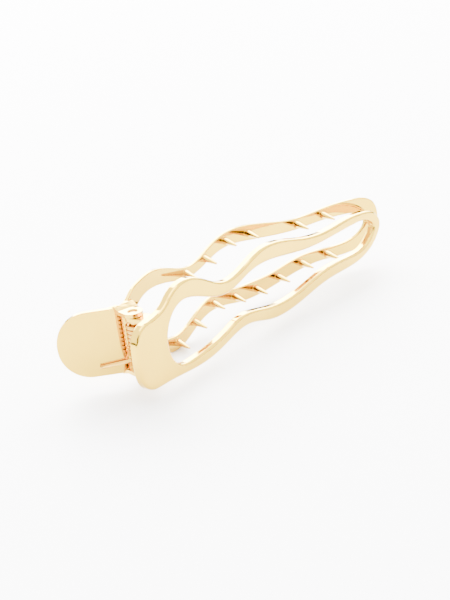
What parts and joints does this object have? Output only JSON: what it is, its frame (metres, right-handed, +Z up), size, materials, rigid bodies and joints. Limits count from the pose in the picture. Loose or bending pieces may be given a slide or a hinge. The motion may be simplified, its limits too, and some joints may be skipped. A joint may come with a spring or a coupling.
{
  "type": "hair claw clip",
  "caption": "Long sprung hair clip: a polished wave-shaped front jaw with cut-out openings, hinged on a pin to a bowed sheet back jaw with a finger paddle and inward teeth.",
  "frame": {"origin": "middle of the bounding box in X and Y, at its lowest point in Z", "axes": "+X from the hinge end to the jaw tips, -Y out of the polished front jaw's face, +Z up along the hinge pin"},
  "size_m": [0.0926, 0.0228, 0.022],
  "materials": {
    "polished_gold": "polished gold plating",
    "spring_gold": "gold plated spring wire"
  },
  "bodies": {
    "back": {"back_jaw": "polished_gold", "hinge_pin": "polished_gold", "torsion_spring": "spring_gold"},
    "front": {"front_jaw": "polished_gold"}
  },
  "joints": [
    {"name": "jaw_hinge", "type": "hinge", "parent": "back", "child": "front", "pos_m": [-0.03654, -0.00384, 0.01046], "axis": [0, 0, -1], "range_deg": [0, 45], "stiffness_Nm_per_rad": 0.05, "springref_deg": -80.21, "deforming": ["torsion_spring"]}
  ]
}
